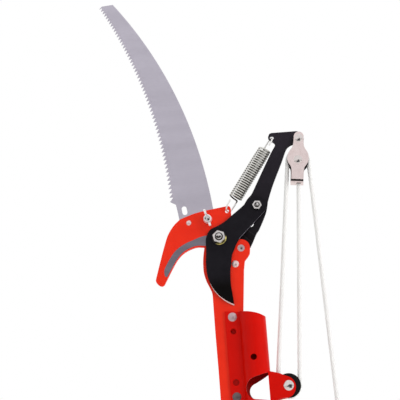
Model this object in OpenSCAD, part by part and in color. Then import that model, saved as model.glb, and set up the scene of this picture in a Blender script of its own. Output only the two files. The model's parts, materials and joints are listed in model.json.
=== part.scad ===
/* [Pole socket] */
// bore of the folded socket, for a 25 mm pole
pole_bore_d = 26; // [25:0.5:27]
// sheet thickness of the folded socket
socket_wall = 2; // [1.6:0.1:2.4]
// height of the rim above the socket mouth, on the pole axis
socket_len = 144; // [130:1:160]
// cross hole for the screw that holds the pole
pole_screw_d = 6.8; // [5:0.2:8]
// height of the pole screw hole
pole_screw_z = 94; // [90:1:100]

/* [Plates] */
// thickness of the red hook plate
plate_t = 4; // [3.5:0.1:4.4]
// thickness of the black cutting blade
blade_t = 3.2; // [2.8:0.1:3.6]
// thickness of the black lever
lever_t = 4; // [3.6:0.1:4.2]
// thickness of the saw blade
saw_t = 1.4; // [1:0.1:2]
// running gap between flat faces that slide on each other
slide_gap = 0.15; // [0.1:0.05:0.25]
// radial running fit of a pin in its bore
pin_fit = 0.08; // [0.05:0.01:0.1]

/* [Saw blade] */
// number of teeth on the concave side
tooth_count = 58; // [50:1:64]
// depth of a tooth from tip to gullet
tooth_depth = 4.4; // [3.6:0.1:5]
// radius of the toothed side
tooth_r = 584; // [520:1:650]
// radius of the back
back_r = 538; // [480:1:600]

/* [Pivots] */
// shank of the main pivot bolt
pivot_d = 8; // [7:0.5:9]
// bush of the blade tail that runs in the cam slot of the lever
bush_d = 7; // [6.6:0.1:7.4]
// clearance of the bush to each side of the cam slot
slot_fit = 0.35; // [0.3:0.05:0.5]
// shank of the tail bolt inside the bush
tail_d = 5; // [4.4:0.1:5.4]
// shank of the lever's hinge rivet
hinge_d = 6; // [5:0.2:7]
// closing travel of the cutting blade, degrees
blade_travel = 64; // [60:1:64]
// ratio of the lever's turn to the blade's turn
lever_ratio = 1.4234; // [1.4:0.0001:1.44]

/* [Return spring] */
// outside diameter of the coil
spring_od = 15.6; // [14.8:0.2:16]
// wire of the coil
spring_wire = 1.7; // [1.4:0.1:1.8]
// whole curls of the coil
spring_turns = 22; // [20:1:24]
// hole that an end loop of the spring hangs in
hook_hole_d = 4.6; // [4.4:0.1:5.2]

/* [Tackle] */
// rope diameter
rope_d = 5; // [4.4:0.1:5.2]
// radius of the rope's middle line on a sheave
rope_r = 12; // [11.5:0.1:12.2]
// outside radius of the lower sheave
sheave_r = 13.4; // [13:0.1:13.8]
// outside radius of the block's sheave
block_sheave_r = 12.3; // [12.1:0.1:12.7]
// width of a sheave
sheave_w = 8.4; // [7.8:0.1:8.8]
// clear width between the cheeks that hold a sheave
cheek_gap = 10; // [9.6:0.1:10.4]
// clearance of the rope in a sheave groove
rope_fit = 0.3; // [0.25:0.05:0.35]
// sheet of the block's two plates
block_t = 1.6; // [1.4:0.1:2]
// axle of a sheave
axle_d = 6; // [5.4:0.1:6.4]
// length of the rope's free fall
fall_len = 286; // [250:1:320]

/* [Hidden] */
$fn = 64;

// half length of a cut that goes right through
thru = 40;

// layers along y: front faces are at the lower values
plate_f = -plate_t / 2;
plate_b = plate_t / 2;
blade_b = plate_f - slide_gap;
blade_f = blade_b - blade_t;
lever_f = plate_f;
lever_b = lever_f + lever_t;
low_f = plate_b + slide_gap;
low_b = low_f + lever_t;
saw_b = plate_b + saw_t;
cheek = cheek_gap / 2;
tube_r = pole_bore_d / 2 + socket_wall;
flange_f = plate_f - socket_wall;

// pivots, x and z in the plate plane, from the middle of the rim
main_at = [-29.6, 87.8];
tail_at = [16.1, 121.6];
lever_at = [-6.1, 74.9];
stop_at = [-13.9, 57.2];
frame_hole_at = [-18.6, 119.3];
lever_hole_at = [39.7, 201.9];
block_at = [70.4, 197.5];
saw_rivet_at = [-63.3, 109.3];
wing_at = [-41.3, 111.5];
rim = [0, socket_len];
main_p = rim + main_at;
tail_p = rim + tail_at;
lever_p = rim + lever_at;
stop_p = rim + stop_at;
frame_hole = rim + frame_hole_at;
lever_hole = rim + lever_hole_at;
block_p = rim + block_at;
saw_rivet_p = rim + saw_rivet_at;
wing_p = rim + wing_at;

// upper sheave's axle from the pin that the block hangs on
upper_hang = [-3.1, -25.7];
upper_c = block_p + upper_hang;

// lower sheave beside the socket, and the two rivets of the flanges
sheave_out = 18.8;
sheave_z = 61;
lower_c = [tube_r + sheave_out, sheave_z];
rivet_out = [6.7, 8.6];
rivet_drop = 3;
rivet_low = 53;
rivet_d = 5;
rivet_p = [[-tube_r - rivet_out[0], socket_len - rivet_drop], [-tube_r - rivet_out[1], rivet_low]];
// pole screw hole, a little to the plate's side of the tube's middle
pole_screw_x = -1.4;
// hole through the front flange and the plate, below the upper rivet
punch_out = 7;
punch_drop = 19.2;
punch_r = 3.2;
punch_p = [-tube_r - punch_out, socket_len - punch_drop];

// Catmull-Rom curve through the points p, n steps between neighbours
function mix(a, b, c, d, t) = 0.5 * (2 * b + (c - a) * t + (2 * a - 5 * b + 4 * c - d) * t * t
    + (3 * b - a - 3 * c + d) * t * t * t);
function curve(p, n = 4) = concat([for (i = [0:len(p) - 2]) for (j = [0:n - 1])
    mix(p[max(0, i - 1)], p[i], p[i + 1], p[min(len(p) - 1, i + 2)], j / n)], [p[len(p) - 1]]);
function arc(c, r, a0, a1, n) = [for (i = [0:n]) c + r * [cos(a0 + (a1 - a0) * i / n),
    sin(a0 + (a1 - a0) * i / n)]];
// centre of the arc of radius r from p to q that turns to the left
function arc_c(p, q, r) = let (d = q - p) (p + q) / 2
    + sqrt(r * r - d * d / 4) * [-d[1], d[0]] / norm(d);
function turn(p, a) = [p[0] * cos(a) + p[1] * sin(a), p[1] * cos(a) - p[0] * sin(a)];
function unit(v) = v / norm(v);
function ang(v) = atan2(v[1], v[0]);
function on_rim(p) = [for (q = p) q + rim];

module along_y(y0, y1) {
    translate([0, y1, 0]) rotate([90, 0, 0]) linear_extrude(y1 - y0) children();
}
module rod(p, r, y0, y1) {
    translate([p[0], y1, p[1]]) rotate([90, 0, 0]) cylinder(r = r, h = y1 - y0);
}
module drill(p, d) {
    rod(p, d / 2, -thru, thru);
}
module cone_y(p, r0, r1, y0, y1) {
    translate([p[0], y1, p[1]]) rotate([90, 0, 0]) cylinder(r1 = r1, r2 = r0, h = y1 - y0);
}
// domed head of radius h[0] and height h[1] on the plane y, toward -y for side 1 and +y for side -1
module dome(p, h, y, side) {
    s = (h[0] * h[0] + h[1] * h[1]) / (2 * h[1]);
    intersection() {
        translate([p[0], y + side * (s - h[1]), p[1]]) sphere(r = s);
        rod(p, h[0], side > 0 ? y - h[1] : y, side > 0 ? y : y + h[1]);
    }
}
nut_chamfer = 1.2;
module hex_y(p, flats, y0, y1, a) {
    c = flats / cos(30) / 2;
    intersection() {
        translate([p[0], y1, p[1]]) rotate([90, a, 0]) cylinder(r = c, h = y1 - y0, $fn = 6);
        union() {
            cone_y(p, flats / 2, c * 1.04, y0, y0 + nut_chamfer);
            rod(p, c * 1.04, y0 + nut_chamfer, y1);
        }
    }
}
module ring_y(c, r, a0, a1, d) {
    translate([c[0], 0, c[1]]) rotate([90, 0, 0]) rotate([0, 0, a0])
        rotate_extrude(angle = a1 - a0) translate([r, 0]) circle(d = d);
}
module run(a, b, d) {
    v = b - a;
    translate([a[0], 0, a[1]]) rotate([0, 90 - ang(v), 0]) cylinder(d = d, h = norm(v));
}

// hook plate: outline points from the middle of the rim, and a tongue down the socket's seam
hook_top = [[-73.2, 114.1], [-54.6, 120], [-32, 123.4], [-17.2, 125.2]];
hook_right = [[-15, 124.2], [-14.2, 121.8], [-14.3, 113], [-13.6, 96], [-12.6, 87], [-6.1, 78],
    [4, 73], [3.2, 67.6], [0.7, 63.8], [-3, 59.8], [-4.8, 49.4], [-9.2, 2.3]];
hook_left = [[-41.6, -61], [-42.1, -18], [-42.1, 12.5], [-42.3, 25], [-44.6, 32.2], [-47.9, 40.2],
    [-50.1, 49.9], [-50.2, 60.2], [-49.3, 69.1], [-47.4, 79.2]];
hook_in = [[-47.4, 79.2], [-55.5, 80.1], [-63.7, 78.2], [-72.1, 73.9], [-78.8, 67.4],
    [-85.2, 57.7], [-91.6, 46.7], [-95.7, 39.7]];
hook_out = [[-95.7, 39.7], [-98.9, 38.6], [-102.7, 40.9], [-104.9, 45], [-103.6, 50.7], [-98.2, 68.1],
    [-92.8, 84.6], [-87.9, 97.2], [-80.8, 107.4], [-73.2, 114.1]];
lug_r = 10.2;
tongue_gap = 1.4;
tongue_z = 12;
tongue_step = 3.1;
tongue_out = 26.5;
tongue_x = -pole_bore_d / 2 - tongue_gap;
tongue_edge = -tube_r - tongue_out;
// inlaid steel strip that the blade shears past
strip_top = [[-40, 93.2], [-50.3, 91.9], [-58.8, 89], [-68.5, 85.6], [-76.4, 81.2], [-82.3, 76.2],
    [-86.8, 70.3], [-91.5, 63], [-94.6, 56.6], [-94.8, 51.9]];
strip_end = [[-94.8, 51.9], [-94, 49.6], [-91.8, 48.6]];
strip_low = [[-91.8, 48.6], [-84.9, 59.6], [-78.6, 68.9], [-72, 75.4], [-63.7, 79.8], [-55.4, 81.7],
    [-46.7, 80.9], [-40, 81]];
strip_t = 1.4;
saw_rivet_d = 3.6;
wing_d = 6;
// countersunk head of the lever's hinge rivet, sunk a little below the plate
sink_r = 4.3;
sink_t = 1.6;
sink_gap = 0.1;

module strip(grow) {
    along_y(plate_f - grow, plate_f + strip_t)
        polygon(on_rim(concat(curve(strip_top), curve(strip_end), curve(strip_low))));
}
module hook_plate() {
    color("#d8331f") difference() {
        union() {
            along_y(plate_f, plate_b)
                polygon(concat(on_rim(concat(curve(hook_top), hook_right)),
                    [rim + [tongue_x, tongue_step], [tongue_x, tongue_z], [tongue_edge, tongue_z]],
                    on_rim(concat(curve(hook_left), curve(hook_in), curve(hook_out)))));
            rod(lever_p, lug_r, plate_f, plate_b);
        }
        strip(strip_t);
        drill(main_p, pivot_d + 2 * pin_fit);
        drill(frame_hole, hook_hole_d);
        drill(stop_p, stop_d);
        drill(lever_p, hinge_d);
        cone_y(lever_p, sink_r, hinge_d / 2, plate_f, plate_f + sink_t);
        drill(saw_rivet_p, saw_rivet_d);
        drill(wing_p, wing_d);
        for (p = rivet_p) drill(p, rivet_d);
        rod(punch_p, punch_r, -thru, thru);
    }
}
module counter_blade() {
    color("#7d7882") strip(0);
}

// saw blade: both long edges are arcs, given by their ends from the middle of the rim
tooth_heel = [-83.4, 137];
tooth_tip = [-154.4, 386.5];
back_heel = [-34.6, 125.8];
back_tip = [-137.8, 390.5];
saw_nose = [-151.2, 389.6];
// long flank of a tooth as a part of its pitch, and how much the pitch grows toward the heel
tooth_lean = 0.92;
tooth_spread = 0.16;
saw_shank = [[-77, 133.2], [-75.2, 122.7], [-73.8, 112], [-71, 103]];
saw_foot = [[-66, 99.6], [-52, 98], [-38, 99.6], [-32.6, 106], [-32.8, 114]];
slot_at = [-67.5, 125.2];
slot_r = 2.9;
slot_half = 2.4;
module saw_blade() {
    c = arc_c(tooth_heel, tooth_tip, tooth_r);
    b = arc_c(back_heel, back_tip, back_r);
    a0 = ang(tooth_tip - c);
    a1 = ang(tooth_heel - c);
    // from the tip on: a gullet, then the point of the next tooth, which leans to the heel
    teeth = [for (i = [0:tooth_count - 1]) for (k = [0, 1])
        let (u = (i + (k == 0 ? 1 - tooth_lean : 1)) / tooth_count,
            a = a0 + (a1 - a0) * u * (1 + tooth_spread * (u - 1)))
        c + (tooth_r + tooth_depth * (1 - k)) * [cos(a), sin(a)]];
    color("#b5b0bb") difference() {
        along_y(plate_b, saw_b)
            polygon(on_rim(concat([saw_nose, tooth_tip], teeth, saw_shank, curve(saw_foot),
                arc(b, back_r, ang(back_heel - b), ang(back_tip - b), 40))));
        drill(saw_rivet_p, saw_rivet_d);
        drill(wing_p, wing_d);
        along_y(-thru, thru) translate(rim + slot_at) rotate(8) {
            translate([0, slot_half]) circle(r = slot_r);
            translate([0, -slot_half]) circle(r = slot_r);
            square([2 * slot_r, 2 * slot_half], center = true);
        }
    }
}
saw_head = [3, 1.5];
module saw_rivet() {
    color("#c9c7c4") {
        rod(saw_rivet_p, saw_rivet_d / 2, plate_f, saw_b);
        dome(saw_rivet_p, saw_head, plate_f, 1);
        dome(saw_rivet_p, saw_head, saw_b, -1);
    }
}
wing_hub = [5, 4.3];
wing_hub_h = 6.4;
wing_t = 2.6;
wing_side = [[2, 0.8], [4.6, 1], [7.2, 3.4], [9.8, 6.4], [10.4, 9], [9.4, 10.6], [7.4, 10.4],
    [5.4, 8], [3.6, 6.2], [2, 6]];
wing_end = 2.2;
wing_head = [6, 3];
module wing_bolt() {
    color("#c9c7c4") {
        rod(wing_p, wing_d / 2, plate_f - wing_hub_h - wing_end, saw_b);
        dome(wing_p, wing_head, saw_b, -1);
    }
}
module wing_nut() {
    color("#d4d2cf") difference() {
        translate([wing_p[0], plate_f - slide_gap, wing_p[1]]) rotate([90, -16.5, 0]) {
            cylinder(r1 = wing_hub[0], r2 = wing_hub[1], h = wing_hub_h);
            for (s = [0, 180]) rotate([90, 0, s + 90]) translate([0, 0, -wing_t / 2])
                linear_extrude(wing_t) polygon(curve(wing_side));
        }
        drill(wing_p, wing_d + 2 * pin_fit);
    }
}

// cutting blade: outline points from the middle of the rim, and a ground edge that is an arc
blade_up = [[-45.4, 83.5], [-44.8, 88.5], [-42.1, 94.8], [-37.9, 99.2], [-30.3, 102.1],
    [-22.2, 106.3], [-12.5, 113.6], [-4, 119.9], [4.1, 126.4]];
blade_right = [[-4.9, 87.2], [-9.9, 81.3], [-13.5, 74], [-16.9, 66.8], [-18.6, 56], [-19.8, 51],
    [-20.5, 40.8], [-20.5, 31.7], [-19.6, 22.5], [-18.9, 14], [-18.6, 10.2]];
blade_left = [[-45.1, 41], [-46.4, 47.6], [-46.8, 59.1], [-45.6, 73.1], [-45.4, 83.5]];
blade_tail_r = 10.6;
edge_at = [0.2, 52.5];
edge_r = 46.7;
// the ground bevel is widest at the tip and runs out along the edge, as its cone stands off centre
bevel_w = 1.25;
bevel_off = [-1.05, 1.07];
bevel_shift = 0.55;
bevel_left = 0.5;
bevel_tip = -17.5;
bevel_end = 16;
edge_c = rim + edge_at;
module cutting_blade() {
    slope = bevel_w / (blade_t - bevel_left);
    color("#232025") difference() {
        along_y(blade_f, blade_b)
            polygon(concat(on_rim(curve(blade_up)), arc(tail_p, blade_tail_r, 135, -45, 24),
                on_rim(curve(blade_right)), arc(edge_c, edge_r, 246.2, 196.4, 30),
                on_rim(curve(blade_left))));
        // conical bevel on the front of the ground edge
        difference() {
            rod(edge_c, edge_r + thru, blade_f - 1, blade_b + 1);
            cone_y(edge_c + bevel_off, edge_r + bevel_shift - bevel_w - slope,
                edge_r + bevel_shift + slope * (1 + bevel_left), blade_f - 1, blade_b + 1);
            translate([-3 * thru, -thru, edge_c[1] - bevel_end]) cube([6 * thru, 2 * thru, 5 * thru]);
            translate([bevel_tip, -thru, 0]) cube([4 * thru, 2 * thru, 8 * thru]);
        }
        drill(main_p, pivot_d + 2 * pin_fit);
        drill(tail_p, tail_d);
    }
}

washer_t = 1.6;
washer_r = 8.4;
pivot_flats = 13;
pivot_nut_h = 6.5;
pivot_head_h = 5.3;
tail_flats = 9.4;
tail_nut_h = 5;
tail_head_r = 4.6;
tail_head_h = 1.85;
bolt_end = 1.5;
washer_f = blade_f - slide_gap - washer_t;
module pivot_bolt() {
    color("#c9c7c4") {
        rod(main_p, pivot_d / 2, washer_f - pivot_nut_h - bolt_end, plate_b);
        mirror([0, 1, 0]) hex_y(main_p, pivot_flats, -plate_b - pivot_head_h, -plate_b, 12);
    }
}
module pivot_washer() {
    color("#d9a92c") difference() {
        rod(main_p, washer_r, washer_f, washer_f + washer_t);
        drill(main_p, pivot_d);
    }
}
module pivot_nut() {
    color("#dad8d5") difference() {
        hex_y(main_p, pivot_flats, washer_f - pivot_nut_h, washer_f, 20);
        drill(main_p, pivot_d);
    }
}
module tail_bolt() {
    color("#c9c7c4") {
        rod(tail_p, tail_d / 2, blade_f - tail_nut_h - bolt_end, lever_b + slide_gap);
        rod(tail_p, tail_head_r, lever_b + slide_gap, lever_b + slide_gap + tail_head_h);
    }
}
module tail_bush() {
    color("#a9a6a2") difference() {
        rod(tail_p, bush_d / 2, blade_b, lever_b + slide_gap);
        drill(tail_p, tail_d);
    }
}
module tail_nut() {
    color("#dad8d5") difference() {
        hex_y(tail_p, tail_flats, blade_f - tail_nut_h, blade_f, 8);
        drill(tail_p, tail_d);
    }
}

// lever: outline points from the middle of the rim
lever_head = [[36.1, 204.9], [37.3, 207], [39.6, 207.9], [68.4, 207.4], [73, 206], [76.2, 201.8],
    [76.4, 196.6], [73.8, 193], [70, 191.6]];
lever_right = [[70, 191.6], [63.4, 191.9], [58, 189.6], [54.3, 185.2], [48.2, 171.3], [36.6, 146.8],
    [29.4, 128.4], [28, 122.5], [25, 112.3], [16.7, 95.7], [13.2, 91]];
lever_left = [[-8.6, 93], [-4.4, 99], [-4.6, 107], [-2.8, 115], [0.5, 123.4], [5.4, 131], [10.4, 136.1],
    [14, 142], [23.5, 159.3], [36.3, 182.2], [41.6, 190.6], [42.6, 193.2], [41.6, 195.6],
    [36.4, 200.3], [35.4, 202.5], [36.1, 204.9]];
lever_foot_r = 9.6;
// fold of the lever behind the lug, measured from the lever pivot along the fold's normal
fold_a = 45.8;
fold_top = 20.8;
fold_low = 13.8;
block_pin_d = 5;

// where the tail bush runs in the lever: blade turn t degrees, lever turn lever_ratio times t
function cam(t) = lever_p + turn(main_p + turn(tail_p - main_p, t) - lever_p, -lever_ratio * t);
function cam_n(t) = let (d = unit(cam(t + 0.5) - cam(t - 0.5))) [-d[1], d[0]];
cam_r = bush_d / 2 + slot_fit;
cam_steps = 20;
cam_t = [for (i = [0:cam_steps]) blade_travel * i / cam_steps];
cam_end_a = ang(cam_n(blade_travel));
cam_start_a = ang(-cam_n(0));
module cam_slot() {
    polygon(concat([for (t = cam_t) cam(t) + cam_r * cam_n(t)],
        arc(cam(blade_travel), cam_r, cam_end_a, cam_end_a - 180, 12),
        [for (i = [cam_steps:-1:0]) cam(cam_t[i]) - cam_r * cam_n(cam_t[i])],
        arc(cam(0), cam_r, cam_start_a, cam_start_a - 180, 12)));
}
// side profile: the upper part lies behind the blade, the foot behind the lug
module lever_side() {
    b = atan2(low_f - lever_f, fold_top - fold_low);
    k = lever_t * tan(b / 2);
    polygon([[8 * thru, lever_f], [fold_top, lever_f], [fold_low, low_f], [-thru, low_f],
        [-thru, low_b], [fold_low + k, low_b], [fold_top + k, lever_b], [8 * thru, lever_b]]);
}
module lever() {
    color("#232025") difference() {
        intersection() {
            along_y(-thru, thru)
                polygon(concat(on_rim(concat(lever_head, curve(lever_right))),
                    arc(lever_p, lever_foot_r, -5, -200, 30), on_rim(curve(lever_left))));
            translate([lever_p[0], 0, lever_p[1]]) rotate([0, -fold_a, 0])
                translate([0, 0, -5 * thru]) linear_extrude(10 * thru) lever_side();
        }
        along_y(-thru, thru) cam_slot();
        drill(lever_p, hinge_d + 2 * pin_fit);
        drill(lever_hole, hook_hole_d);
        drill(block_p, block_pin_d + 2 * pin_fit);
    }
}
hinge_head = [6, 2.6];
module lever_rivet() {
    rise = (sink_r - hinge_d / 2) / sink_t;
    color("#c9c7c4") {
        rod(lever_p, hinge_d / 2, plate_f + sink_gap, low_b + slide_gap);
        cone_y(lever_p, sink_r - rise * sink_gap, hinge_d / 2, plate_f + sink_gap, plate_f + sink_t);
        dome(lever_p, hinge_head, low_b + slide_gap, -1);
    }
}
stop_d = 5;
stop_head = [4.1, 1.7];
stop_tail = [4.1, 1.6];
module stop_rivet() {
    color("#c9c7c4") {
        rod(stop_p, stop_d / 2, plate_f, plate_b);
        dome(stop_p, stop_head, plate_f, 1);
        dome(stop_p, stop_tail, plate_b, -1);
    }
}

// spring line from the frame hole to the lever hole
spring_v = unit(lever_hole - frame_hole);
spring_a = ang(spring_v);
spring_l = norm(lever_hole - frame_hole);
loop_open = 2.5;
lower_reach = 16;
upper_reach = 15.2;
coil_0 = lower_reach;
coil_1 = spring_l - upper_reach;
// the coil stands on the x axis of its own frame, which lies on the spring line
module on_spring() {
    translate([frame_hole[0], 0, frame_hole[1]]) rotate([0, -spring_a, 0]) children();
}
coil_r = (spring_od - spring_wire) / 2;
end_bend = 2.6;
loop_a = 22;
ring_n = 8;
pitch = (coil_1 - coil_0 - 2 * end_bend) / spring_turns;
function coil_at(x, a) = [x, coil_r * cos(a), coil_r * sin(a), a];
function coil_p(i) = coil_at(coil_0 + end_bend + pitch * i / ring_n, 360 * i / ring_n);
// the wire leaves each loop straight, bends into the helix and makes its curls
coil_path = concat(
    [coil_at(coil_0, -loop_a), coil_at(coil_0 + 0.35 * end_bend, -loop_a),
        coil_at(coil_0 + 0.73 * end_bend, -0.68 * loop_a)],
    [for (i = [0:ring_n * spring_turns]) coil_p(i)],
    [coil_at(coil_1 - 0.73 * end_bend, 0.68 * loop_a), coil_at(coil_1 - 0.35 * end_bend, loop_a),
        coil_at(coil_1, loop_a)]);
function xyz(q) = [q[0], q[1], q[2]];
function tangent(p, i) = unit(i == 0 ? xyz(p[1]) - xyz(p[0])
    : i == len(p) - 1 ? xyz(p[i]) - xyz(p[i - 1])
    : i == 1 || i == len(p) - 2 ? [1, 0, 0] : xyz(p[i + 1]) - xyz(p[i - 1]));
function tube_pts(p, r, m) = [for (i = [0:len(p) - 1]) let (t = tangent(p, i),
    n = [0, cos(p[i][3]), sin(p[i][3])], b = cross(t, n)) for (j = [0:m - 1])
    xyz(p[i]) + r * (n * cos(360 * j / m) + b * sin(360 * j / m))];
function tube_faces(k, m) = concat([[for (j = [m - 1:-1:0]) j]],
    [for (i = [0:k - 2]) for (j = [0:m - 1]) for (s = [0, 1]) s == 0
        ? [i * m + j, i * m + (j + 1) % m, (i + 1) * m + j]
        : [i * m + (j + 1) % m, (i + 1) * m + (j + 1) % m, (i + 1) * m + j]],
    [[for (j = [0:m - 1]) (k - 1) * m + j]]);
self_gap = min([for (i = [0:ring_n * (spring_turns - 1)])
    norm(xyz(coil_p(i + ring_n)) - xyz(coil_p(i)))]) - spring_wire;
echo(spring_self_gap = self_gap);
module return_spring() {
    color("#d0cfcc") on_spring()
        polyhedron(tube_pts(coil_path, spring_wire / 2, 6), tube_faces(len(coil_path), 6));
}
// each end of the wire runs on as a long open loop through its hole, in a plane turned by a:
// out along one side, half round, and back to a free end
function loop_flat(reach) = concat([[reach, coil_r]], arc([coil_r, 0], coil_r, 90, 270, 16),
    [[reach - loop_open, -coil_r]]);
function loop_pts(reach, x0, s, a, m) = let (
    p = [for (q = loop_flat(reach)) [x0 + s * q[0], q[1] * cos(a), q[1] * sin(a)]],
    k = len(p) - 1, n = [0, -sin(a), cos(a)])
    [for (i = [0:k]) let (t = unit(p[min(k, i + 1)] - p[max(0, i - 1)]), u = cross(n, t))
        for (j = [0:m - 1]) p[i] + spring_wire / 2 * (u * cos(360 * j / m) + n * sin(360 * j / m))];
module end_loop(reach, x0, s, a) {
    p = loop_pts(reach, x0, s, a, 6);
    color("#dedddb") on_spring() polyhedron(p, tube_faces(len(p) / 6, 6));
}
module spring_lower_hook() {
    end_loop(lower_reach, 0, 1, -loop_a);
}
module spring_upper_hook() {
    end_loop(upper_reach, spring_l, -1, loop_a);
}

// folded socket: two flanges clasp the hook plate, and two ears are folded out of the windows
flange_w = 15;
rim_stock = 12;
rim_line = [[-34, 4.2], [-23, 3.2], [-16, 2.3], [-9.5, 1.4], [-1.3, 0], [7.3, -2.3], [15, -5.4],
    [19, -7.4]];
fold_in = 0.4;
fold_line = pole_bore_d / 2 - fold_in;
window_at = [-0.3, -0.8];
window_r = 12.3;
window_top = 15.6;
window_low = -14.8;
ear_at = [-4.4, -1.4];
ear_r = 12.1;
ear_top = [17.4, 14.2];
ear_low = [-17, -14.6];
ear_neck = [-9.6, -13.7];
rear_at = [0.3, -2.8];
rear_r = 9.6;
rear_top = 14.1;
dimple_out = 8.2;
dimple_rise = 15.7;
dimple_r = 3.6;
dimple_t = 1.2;
module ear_outline() {
    polygon(concat([[fold_line, sheave_z + ear_top[0]], lower_c + [ear_neck[0], ear_top[1]]],
        arc(lower_c + ear_at, ear_r, 76, -100, 32),
        [lower_c + [ear_neck[1], ear_low[1]], [fold_line, sheave_z + ear_low[0]]]));
}
module window_outline() {
    polygon(concat(arc([0, sheave_z] + window_at, window_r, 110, 258, 28),
        [[fold_line, sheave_z + window_low], [fold_line, sheave_z + window_top]]));
}
// the rear ear is cut from less of the wall
module rear_window() {
    polygon(concat(arc([0, sheave_z] + rear_at, rear_r, 110, 258, 24),
        [[fold_line, sheave_z + window_low], [fold_line, sheave_z + rear_top]]));
}
module ferrule() {
    flange_edge = -tube_r - flange_w;
    color("#c11a0c") difference() {
        union() {
            cylinder(r = tube_r, h = socket_len + rim_stock);
            for (y = [flange_f, plate_b]) translate([flange_edge, y, 0])
                cube([flange_w + socket_wall + 1, socket_wall, socket_len + rim_stock]);
            along_y(-cheek - socket_wall, -cheek) ear_outline();
            along_y(cheek, cheek + socket_wall) ear_outline();
        }
        // pole bore and the seam that takes the hook plate
        translate([0, 0, -1]) cylinder(d = pole_bore_d, h = socket_len + 2 * rim_stock);
        translate([-2 * thru, plate_f, -1]) cube([2 * thru, plate_t, socket_len + 2 * rim_stock]);
        // rim rounded over to the rope side
        along_y(-thru, thru) polygon(on_rim(concat(curve(rim_line), [[19, 2 * rim_stock],
            [-34, 2 * rim_stock]])));
        along_y(-thru, 0) window_outline();
        along_y(0, thru) rear_window();
        rod([pole_screw_x, pole_screw_z], pole_screw_d / 2, -thru, 0);
        drill(lower_c, axle_d);
        for (p = rivet_p) drill(p, rivet_d);
        rod(punch_p, punch_r, -thru, 0);
        rod([-tube_r - dimple_out, rivet_low + dimple_rise], dimple_r, -thru, flange_f + dimple_t);
    }
}
rivet_head = [5, 1.9];
module ferrule_rivets() {
    color("#c9c7c4") for (p = rivet_p) {
        rod(p, rivet_d / 2, flange_f, -flange_f);
        dome(p, rivet_head, flange_f, 1);
        dome(p, rivet_head, -flange_f, -1);
    }
}

module sheave(c, r) {
    lip = 0.7;
    translate([c[0], 0, c[1]]) rotate([90, 0, 0]) rotate_extrude() difference() {
        translate([axle_d / 2 + pin_fit, -sheave_w / 2])
            square([r - axle_d / 2 - pin_fit, sheave_w]);
        translate([rope_r, 0]) circle(d = rope_d + 2 * rope_fit);
        polygon([[rope_r, -rope_d / 2 - rope_fit], [rope_r, rope_d / 2 + rope_fit],
            [r + 1, sheave_w / 2 - lip], [r + 1, lip - sheave_w / 2]]);
    }
}
module lower_sheave() {
    color("#1d1b1e") sheave(lower_c, sheave_r);
}
lower_head = [5.6, 2.2];
lower_tail = [5.6, 2];
module lower_axle() {
    color("#cfcdca") {
        rod(lower_c, axle_d / 2, -cheek - socket_wall, cheek + socket_wall);
        dome(lower_c, lower_head, -cheek - socket_wall, 1);
        dome(lower_c, lower_tail, cheek + socket_wall, -1);
    }
}

// pulley block that hangs on the lever: top end, axle, and a lip that the rope is tied to
block_d = unit(upper_c - block_p);
block_n = [-block_d[1], block_d[0]];
block_l = norm(upper_c - block_p);
block_top_r = 5.7;
block_rise = 2;
// half widths of the plates beside the pin and down to the neck, each at a part of block_l
block_side = [[5.7, 0], [5.9, 0.19], [6.4, 0.35], [7.9, 0.49], [10.5, 0.64], [11.9, 0.79], [12.3, 0.93],
    [12, 1.05], [10.8, 1.17], [8.6, 1.29], [7.3, 1.41], [7, 1.6]];
block_low_w = 14;
becket_gap = 13.4;
becket_side = 1.5;
front_gap = 2.2;
// the rear plate's neck is wider toward the lever, from the given part of block_l on
rear_more = 0.9;
rear_from = 1.05;
becket_s = block_l + block_sheave_r + becket_gap;
module on_block() {
    translate([block_p[0], 0, block_p[1]]) rotate([0, -90 - ang(block_d), 0]) children();
}
function neck_share(z) = max(0, min(1, (-z / block_l - rear_from) / 0.36));
module block_outline(end, more) {
    right = concat(curve([for (p = block_side) [p[0], -p[1] * block_l]]), [[block_low_w / 2, -end]]);
    k = len(right) - 1;
    polygon(concat(arc([0, block_rise], block_top_r, 180, 0, 24), right,
        [for (i = [k:-1:0]) [-right[i][0] - more * neck_share(right[i][1]), right[i][1]]]));
}
module block_plate(y0, end, more) {
    difference() {
        on_block() along_y(y0, y0 + block_t) block_outline(end, more);
        drill(block_p, block_pin_d);
        drill(upper_c, axle_d);
    }
}
module block_front_plate() {
    color("#dccdcb") block_plate(-cheek - block_t, becket_s - front_gap, 0);
}
module block_rear_plate() {
    color("#dccdcb") {
        block_plate(cheek, becket_s + block_t, rear_more);
        on_block() translate([0, 0, -becket_s - block_t]) difference() {
            translate([-block_low_w / 2 - rear_more, -cheek - block_t, 0])
                cube([block_low_w + rear_more, 2 * cheek + 1.2 * block_t, block_t]);
            translate([becket_side, 0, -1]) cylinder(d = rope_d, h = block_t + 2);
        }
    }
}
module upper_sheave() {
    color("#1d1b1e") sheave(upper_c, block_sheave_r);
}
axle_head = [4.8, 1.6];
module upper_axle() {
    color("#cfcdca") {
        rod(upper_c, axle_d / 2, -cheek - block_t, cheek + block_t);
        dome(upper_c, axle_head, -cheek - block_t, 1);
        dome(upper_c, axle_head, cheek + block_t, -1);
    }
}
pin_head = [4.8, 1.6];
module block_pin() {
    color("#cfcdca") {
        rod(block_p, block_pin_d / 2, -cheek - block_t, cheek + block_t);
        dome(block_p, pin_head, -cheek - block_t, 1);
        dome(block_p, pin_head, cheek + block_t, -1);
    }
}
spacer_r = 5;
module block_spacers() {
    color("#cfcdca") difference() {
        union() {
            rod(block_p, spacer_r, -cheek, lever_f - slide_gap);
            rod(block_p, spacer_r, lever_b + slide_gap, cheek);
        }
        drill(block_p, block_pin_d);
    }
}

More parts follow.
